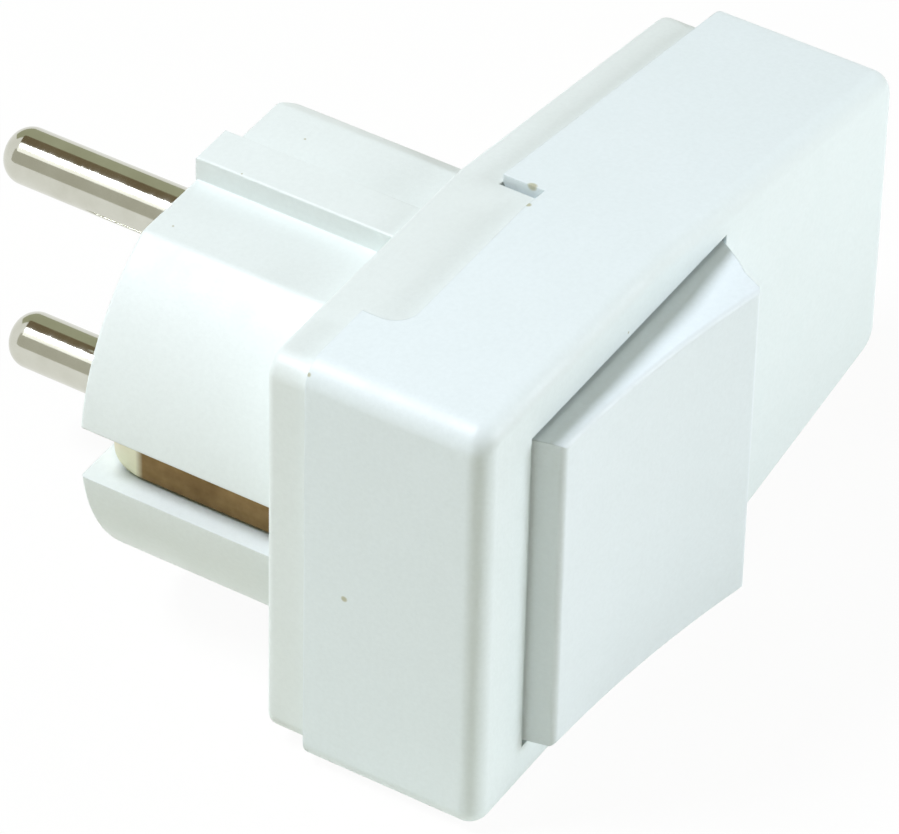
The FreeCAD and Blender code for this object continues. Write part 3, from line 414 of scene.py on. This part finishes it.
def makePin(name, node, side, s):
    startY, radius = s["steps"][0]
    y = s["steps"][1][0]
    rod = addRod(name, radius, (0, startY, s["z"] * side), y - startY, sides=128)
    centre = s["z"] * side * mm
    for nextY, nextRadius in s["steps"][2:]:
        pickFaces(rod, lambda c, n: n.y > facing and nearTo(c.y, y) and nearTo(c.x, 0))
        bpy.ops.mesh.extrude_region_move(TRANSFORM_OT_translate={"value": (0, (nextY - y) * mm, 0)})
        bpy.ops.transform.resize(value=(nextRadius / radius, 1, nextRadius / radius),
                                 center_override=(0, nextY * mm, centre))
        leaveEdit()
        y, radius = nextY, nextRadius
    roundEdges(rod, s["tip"], s["tipSteps"], lambda a, b: endsAt(a, b, "y", y))
    smoothOver(rod, angle=50)
    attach(rod, "housing")
    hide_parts(node)
    return rod


pins = [makePin("upper_pin", "live_pin", 1, pin), makePin("lower_pin", "neutral_pin", -1, pin)]
print("pins modelled")


# housing screws: slotted heads in the flange's recesses
screw = dict(x=30.0, z=9.0, seat=20.3, headHeight=1.8, head=2.8, edge=0.3, edgeSteps=4,
             slot=0.36, slotDeep=0.81, shank=1.5, length=12.0, shankRoot=0.2, shankEdge=0.35, shankSteps=2)


def makeScrew(s):
    top = -s["seat"] + s["headHeight"]
    body = addRod("housing_screw_pair", s["head"], (s["x"], -s["seat"], s["z"]), s["headHeight"], sides=96)
    roundEdges(body, s["edge"], s["edgeSteps"], lambda a, b: endsAt(a, b, "y", top))
    shank = addRod("shank", s["shank"], (s["x"], -s["seat"] + s["shankRoot"], s["z"]),
                   -s["length"] - s["shankRoot"], sides=64)
    roundEdges(shank, s["shankEdge"], s["shankSteps"],
               lambda a, b: endsAt(a, b, "y", -s["seat"] - s["length"]))
    join(body, shank)
    carve(body, addBlock("slot", (s["x"] - s["head"] - past, top - s["slotDeep"], s["z"] - s["slot"]),
                         (s["x"] + s["head"] + past, top + past, s["z"] + s["slot"])))
    onlySelect(body)
    bpy.ops.object.duplicate()
    other = bpy.context.object
    other.location.z = -2 * s["z"] * mm
    onlySelect(other)
    bpy.ops.object.transform_apply(location=True, rotation=True, scale=True)
    onlySelect(other, body)
    bpy.ops.object.join()
    smoothOver(body)
    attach(body, "housing")
    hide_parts("housing_screws")
    return body


housingScrews = makeScrew(screw)
print("screws modelled")


# finishes
def startFinish(name):
    finish = bpy.data.materials.new(name)
    finish.use_nodes = True
    tree = finish.node_tree
    shader = tree.nodes["Principled BSDF"]
    place = tree.nodes.new("ShaderNodeTexCoord")
    return finish, tree, shader, place.outputs["Object"]


def addNoise(tree, place, scale, detail=2.0, rough=0.5, stretch=None):
    noise = tree.nodes.new("ShaderNodeTexNoise")
    noise.inputs["Scale"].default_value = scale
    noise.inputs["Detail"].default_value = detail
    noise.inputs["Roughness"].default_value = rough
    if stretch:
        mapping = tree.nodes.new("ShaderNodeMapping")
        mapping.inputs["Scale"].default_value = stretch
        tree.links.new(place, mapping.inputs["Vector"])
        place = mapping.outputs["Vector"]
    tree.links.new(place, noise.inputs["Vector"])
    return noise.outputs["Fac"]


def addRange(tree, value, low, high, fromLow=0.3, fromHigh=0.7):
    spread = tree.nodes.new("ShaderNodeMapRange")
    spread.inputs["From Min"].default_value = fromLow
    spread.inputs["From Max"].default_value = fromHigh
    spread.inputs["To Min"].default_value = low
    spread.inputs["To Max"].default_value = high
    tree.links.new(value, spread.inputs["Value"])
    return spread.outputs["Result"]


def addMix(tree, factor, first, second):
    mix = tree.nodes.new("ShaderNodeMix")
    mix.data_type = 'RGBA'
    for socket, value in ((mix.inputs[0], factor), (mix.inputs[6], first), (mix.inputs[7], second)):
        if isinstance(value, (tuple, float, int)):
            socket.default_value = (*value, 1) if isinstance(value, tuple) else value
        else:
            tree.links.new(value, socket)
    return mix.outputs[2]


def addBump(tree, height, strength, distance, under=None):
    bump = tree.nodes.new("ShaderNodeBump")
    bump.inputs["Strength"].default_value = strength
    bump.inputs["Distance"].default_value = distance * mm
    tree.links.new(height, bump.inputs["Height"])
    if under:
        tree.links.new(under, bump.inputs["Normal"])
    return bump.outputs["Normal"]


def addSoftEdge(tree, radius, samples=6):
    bevel = tree.nodes.new("ShaderNodeBevel")
    bevel.samples = samples
    bevel.inputs["Radius"].default_value = radius * mm
    return bevel.outputs["Normal"]


# the larger of two values
def addMost(tree, first, second):
    most = tree.nodes.new("ShaderNodeMath")
    most.operation = 'MAXIMUM'
    tree.links.new(first, most.inputs[0])
    tree.links.new(second, most.inputs[1])
    return most.outputs[0]


# small round marks in the surface: 1 within the core of a mark, 0 beyond its radius
def addMarks(tree, place, marks, core=0.55):
    total = None
    for x, y, z, radius in marks:
        gap = tree.nodes.new("ShaderNodeVectorMath")
        gap.operation = 'DISTANCE'
        gap.inputs[1].default_value = (x * mm, y * mm, z * mm)
        tree.links.new(place, gap.inputs[0])
        mark = addRange(tree, gap.outputs["Value"], 1.0, 0.0, radius * core * mm, radius * mm)
        total = mark if total is None else addMost(tree, total, mark)
    return total


# moulded plastic: sparkle grain, faint clouding, uneven gloss, soft edges
def plasticFinish(name, light, dark, rough=(0.42, 0.56), grain=0.45, softEdge=0.16, pitShade=0.9,
                  marks=None, markColour=None):
    finish, tree, shader, place = startFinish(name)
    cloud = addNoise(tree, place, scale=90, detail=4, rough=0.6)
    grit = addNoise(tree, place, scale=2600, detail=3, rough=0.62)
    gloss = addNoise(tree, place, scale=420, detail=3)
    pits = tuple(c * pitShade for c in dark)
    colour = addMix(tree, addRange(tree, cloud, low=0.0, high=0.7), light, dark)
    colour = addMix(tree, addRange(tree, grit, low=0.0, high=0.3), colour, pits)
    if marks:
        colour = addMix(tree, addMarks(tree, place, marks), colour, markColour)
    tree.links.new(colour, shader.inputs["Base Color"])
    tree.links.new(addRange(tree, gloss, *rough), shader.inputs["Roughness"])
    normal = addSoftEdge(tree, softEdge)
    normal = addBump(tree, cloud, strength=0.25, distance=0.05, under=normal)
    normal = addBump(tree, grit, strength=grain, distance=0.03, under=normal)
    tree.links.new(normal, shader.inputs["Normal"])
    shader.inputs["IOR"].default_value = 1.5
    return finish


# plated, rolled or drawn metal: grain stretched one way, tarnish in patches, and optionally a paler colour
# along Y that is a painted reflection
def metalFinish(name, light, dark, rough=(0.2, 0.35), stretch=(1, 1, 1), scale=1500, grain=0.15, patches=260,
                softEdge=0.08, paintedReflection=None):
    finish, tree, shader, place = startFinish(name)
    patch = addNoise(tree, place, scale=patches, detail=4, rough=0.6)
    lines = addNoise(tree, place, scale=scale, detail=3, rough=0.6, stretch=stretch)
    colour = addMix(tree, addRange(tree, patch, low=0.0, high=1.0), light, dark)
    # painted reflection: from start to end along Y the colour fades over to a paler one
    if paintedReflection:
        apart = tree.nodes.new("ShaderNodeSeparateXYZ")
        tree.links.new(place, apart.inputs[0])
        share = addRange(tree, apart.outputs["Y"], 0.0, 1.0, paintedReflection["start"] * mm, paintedReflection["end"] * mm)
        colour = addMix(tree, share, colour, paintedReflection["colour"])
    tree.links.new(colour, shader.inputs["Base Color"])
    tree.links.new(addRange(tree, lines, *rough), shader.inputs["Roughness"])
    normal = addBump(tree, lines, strength=grain, distance=0.012, under=addSoftEdge(tree, softEdge))
    tree.links.new(normal, shader.inputs["Normal"])
    shader.inputs["Metallic"].default_value = 1.0
    return finish


# marks: x, y, z and radius
housingMarks = [(-8.0, -1.8, 16.1, 0.12), (6.66, -4.44, 16.1, 0.13), (-1.9, -4.14, 18.2, 0.1),
                (-20.2, -19.5, 18.0, 0.2), (4.9, -25.6, 19.0, 0.4)]
coverMarks = [(-20.7, -25.65, -1.23, 0.32), (4.9, -25.8, 20.1, 0.34), (0.0, -37.8, 16.2, 0.13),
              (7.5, -24.6, 19.6, 0.5), (-20.4, -22.1, 19.2, 0.25)]

finishes = {
    "housing_white": plasticFinish("housing white plastic", (0.79, 0.845, 0.82), (0.77, 0.825, 0.795),
                                   marks=housingMarks, markColour=(0.52, 0.52, 0.40)),
    "cover_white": plasticFinish("cover white plastic", (0.80, 0.87, 0.875), (0.775, 0.85, 0.85),
                                 marks=coverMarks, markColour=(0.50, 0.50, 0.36)),
    "rocker_white": plasticFinish("rocker white plastic", (0.79, 0.86, 0.885), (0.77, 0.84, 0.86),
                                  rough=(0.36, 0.48), grain=0.35),
    "nickel_pins": metalFinish("nickel plate", (0.66, 0.665, 0.59), (0.58, 0.58, 0.50),
                               rough=(0.06, 0.14), stretch=(0.15, 1, 0.15), scale=900, grain=0.12),
    "copper_strip": metalFinish("copper strip", (0.72, 0.42, 0.27), (0.58, 0.32, 0.19),
                                rough=(0.25, 0.45), stretch=(0.1, 1, 1)),
    "contact_silver": metalFinish("contact silver", (0.82, 0.80, 0.76), (0.66, 0.63, 0.58),
                                  rough=(0.25, 0.4)),
    # the strap's bent nose is painted pale cream from Y -4.5 on: a painted reflection of its bright
    # surroundings
    "earth_brass": metalFinish("tarnished brass strap", (0.27, 0.18, 0.075), (0.14, 0.085, 0.03),
                               rough=(0.3, 0.5), stretch=(1, 0.12, 1), scale=1800, grain=0.2,
                               paintedReflection=dict(start=-4.5, end=-3.8, colour=(0.70, 0.68, 0.50))),
    "terminal_brass": metalFinish("turned brass", (0.72, 0.53, 0.25), (0.58, 0.41, 0.17),
                                  rough=(0.22, 0.4), stretch=(1, 0.1, 0.1)),
    "spring_steel": metalFinish("spring wire", (0.56, 0.55, 0.53), (0.42, 0.41, 0.39),
                                rough=(0.25, 0.4)),
    "screw_steel": metalFinish("zinc plated steel", (0.66, 0.64, 0.58), (0.5, 0.47, 0.4),
                               rough=(0.24, 0.42), stretch=(1, 0.2, 1), scale=1200),
    "carrier_grey": plasticFinish("grey carrier plastic", (0.17, 0.17, 0.16), (0.13, 0.13, 0.12),
                                  rough=(0.5, 0.65)),
    "plunger_plastic": plasticFinish("natural nylon", (0.68, 0.65, 0.56), (0.62, 0.59, 0.5),
                                     rough=(0.35, 0.5)),
}


def dress(thing, finish):
    if not thing.material_slots:
        thing.data.materials.append(finish)
    for holder in thing.material_slots:
        holder.material = finish


for subpart in frame["record"]["subparts"]:
    dress(frame["nodes"][subpart["node"]], finishes[subpart["material_slot"]])
dress(baseMoulding, finishes["housing_white"])
dress(coverMoulding, finishes["cover_white"])
dress(rockerKey, finishes["rocker_white"])
dress(housingScrews, finishes["screw_steel"])
for rod in pins:
    dress(rod, finishes["nickel_pins"])
print("finishes on")


# floor, light and camera
studio = dict(floorZ=-20.3, floorSize=4000, floorShow=0.95, floorColour=(0.9, 0.9, 0.82),
              worldLight=0.2, worldColour=(1.0, 0.98, 0.62))


# an empty node tree of a material or a world
def clearTree(owner):
    owner.use_nodes = True
    owner.node_tree.nodes.clear()
    return owner.node_tree


# camera, glossy and transmission rays see plain white
def addSeenRays(tree):
    path = tree.nodes.new("ShaderNodeLightPath")
    total = path.outputs["Is Camera Ray"]
    for name in ("Is Glossy Ray", "Is Transmission Ray"):
        total = addMost(tree, total, path.outputs[name])
    return total


# one shader for the light that falls on things, the other for what is seen
def addSplit(tree, kind, share, falling, seen):
    out = tree.nodes.new(kind)
    mix = tree.nodes.new("ShaderNodeMixShader")
    tree.links.new(share, mix.inputs["Fac"])
    tree.links.new(falling.outputs[0], mix.inputs[1])
    tree.links.new(seen.outputs[0], mix.inputs[2])
    tree.links.new(mix.outputs[0], out.inputs["Surface"])


def makeStudio(s):
    bpy.ops.object.select_all(action='DESELECT')
    bpy.ops.mesh.primitive_plane_add(size=s["floorSize"] * mm, location=(0, 0, s["floorZ"] * mm))
    floor = bpy.context.object
    floor.name = "pale_floor"
    paint = bpy.data.materials.new("pale floor")
    tree = clearTree(paint)
    matt = tree.nodes.new("ShaderNodeBsdfDiffuse")
    matt.inputs["Color"].default_value = (*s["floorColour"], 1)
    share = tree.nodes.new("ShaderNodeMath")
    share.operation = 'MULTIPLY'
    share.inputs[1].default_value = s["floorShow"]
    tree.links.new(addSeenRays(tree), share.inputs[0])
    glow = tree.nodes.new("ShaderNodeEmission")
    addSplit(tree, "ShaderNodeOutputMaterial", share.outputs[0], matt, glow)
    floor.data.materials.append(paint)

    world = bpy.data.worlds.new("studio")
    bpy.context.scene.world = world
    tree = clearTree(world)
    dim = tree.nodes.new("ShaderNodeBackground")
    dim.inputs["Color"].default_value = (*s["worldColour"], 1)
    dim.inputs["Strength"].default_value = s["worldLight"]
    white = tree.nodes.new("ShaderNodeBackground")
    white.inputs["Color"].default_value = (1, 1, 1, 1)
    addSplit(tree, "ShaderNodeOutputWorld", addSeenRays(tree), dim, white)


# the lamps aim at the middle of the body
lampTarget = (10, -20, 0)
lamps = [
    dict(name="key softbox", place=(-172, 192, 440), size=150, power=2.42, colour=(0.965, 1.0, 1.12)),
    dict(name="front fill", place=(280, -468, 111), size=240, power=1.76, colour=(0.96, 1.0, 1.1)),
]


def makeLamp(s):
    light = bpy.data.lights.new(s["name"], 'AREA')
    light.shape = 'DISK'
    light.size = s["size"] * mm
    light.energy = s["power"]
    light.color = s["colour"]
    lamp = bpy.data.objects.new(s["name"], light)
    bpy.context.scene.collection.objects.link(lamp)
    lamp.location = [v * mm for v in s["place"]]
    aim = lamp.location - Vector(lampTarget) * mm
    lamp.rotation_euler = aim.to_track_quat('Z', 'Y').to_euler()


# glowing cards that only glossy rays see: painted reflections, mostly in the metal pins; they give no diffuse
# light and cast no shadow
reflectionCards = [
    # the white card paints the pins' highlight band, the dark, olive and left cards paint their darker
    # reflection bands
    dict(name="white reflection card", place=(-190, 215, 425), size=(230, 560), glow=(1.5, 1.5, 1.5)),
    dict(name="dark reflection card", place=(48, 215, 458), size=(250, 560), glow=(0.197, 0.153, 0.09)),
    dict(name="olive reflection card", place=(330, 215, 300), size=(1400, 560), glow=(0.45, 0.46, 0.33)),
    dict(name="left reflection card", place=(-430, 215, 156), size=(620, 560), glow=(0.57, 0.56, 0.49)),
]


def makeReflectionCard(s):
    bpy.ops.object.select_all(action='DESELECT')
    bpy.ops.mesh.primitive_plane_add(size=1, location=(0, 0, 0))
    card = bpy.context.object
    card.name = s["name"].replace(" ", "_")
    card.scale = (s["size"][0] * mm, s["size"][1] * mm, 1)
    card.location = [v * mm for v in s["place"]]
    flat = card.location.copy()
    flat.y = 0
    card.rotation_euler = flat.to_track_quat('Z', 'Y').to_euler()
    paint = bpy.data.materials.new(s["name"])
    tree = clearTree(paint)
    out = tree.nodes.new("ShaderNodeOutputMaterial")
    glow = tree.nodes.new("ShaderNodeEmission")
    glow.inputs["Color"].default_value = (*s["glow"], 1)
    tree.links.new(glow.outputs[0], out.inputs["Surface"])
    card.data.materials.append(paint)
    # hidden from the camera, diffuse light and shadows, so the glow shows only as painted reflections
    card.visible_camera = False
    card.visible_diffuse = False
    card.visible_shadow = False
    card.visible_transmission = False


# place and nearest in metres, turn in degrees, sensor and lens in millimetres
view = dict(place=(-0.35738, -0.23657, 0.35472), nearest=0.01, turn=(49.6349, -1.0355, -58.1622),
            sensor=36, lens=280.946)


def makeCamera(s):
    camera = bpy.data.cameras.new("camera")
    camera.sensor_width = s["sensor"]
    camera.lens = s["lens"]
    camera.clip_start = s["nearest"]
    holder = bpy.data.objects.new("camera", camera)
    bpy.context.scene.collection.objects.link(holder)
    holder.location = s["place"]
    holder.rotation_euler = [math.radians(v) for v in s["turn"]]
    bpy.context.scene.camera = holder


makeStudio(studio)
for lampSettings in lamps:
    makeLamp(lampSettings)
for cardSettings in reflectionCards:
    makeReflectionCard(cardSettings)
makeCamera(view)
bpy.context.scene.view_settings.view_transform = 'Standard'
print("studio set")
